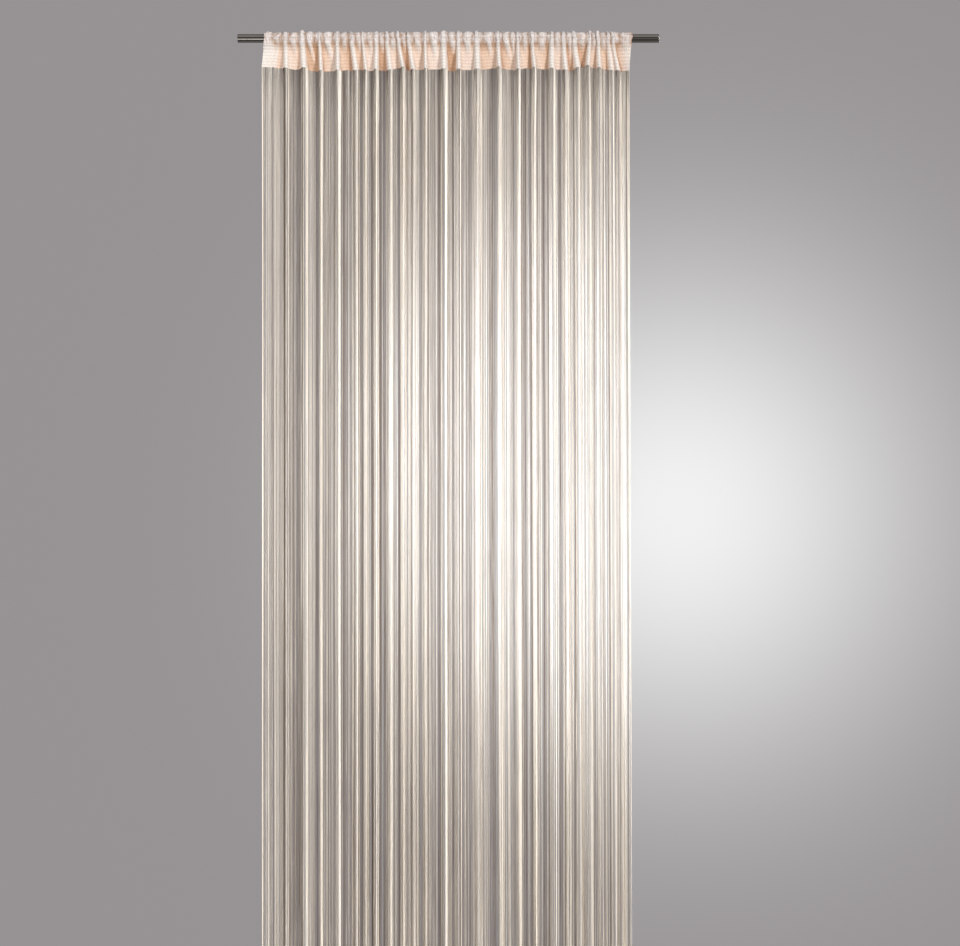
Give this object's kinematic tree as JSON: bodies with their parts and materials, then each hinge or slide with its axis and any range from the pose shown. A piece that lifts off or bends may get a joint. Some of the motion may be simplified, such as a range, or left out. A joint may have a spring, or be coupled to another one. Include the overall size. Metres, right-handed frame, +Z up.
{
  "type": "string curtain on a rod",
  "caption": "Ivory string curtain gathered by its rod pocket on a plain round steel rod: a woven heading band in uneven folds with a dense curtain of fine strings hanging from it.",
  "frame": {"origin": "on the rod's axis, half way along it, which is also the middle of the bearing that its brackets give it", "axes": "+X along the rod to the right as seen from the room, -Y towards the room, +Z up"},
  "size_m": [1, 0.0324, 2.4539],
  "materials": {
    "polished_steel": "dark polished stainless steel tube, mirror-like along its length",
    "woven_polyester": "ivory knitted and woven polyester band with fine crosswise stitch rows, slightly translucent",
    "polyester_yarn": "ivory polyester yarn strings, soft satin sheen"
  },
  "bodies": {
    "root": {"rod": "polished_steel", "heading_band": "woven_polyester", "string_comb": "polyester_yarn"}
  },
  "joints": []
}
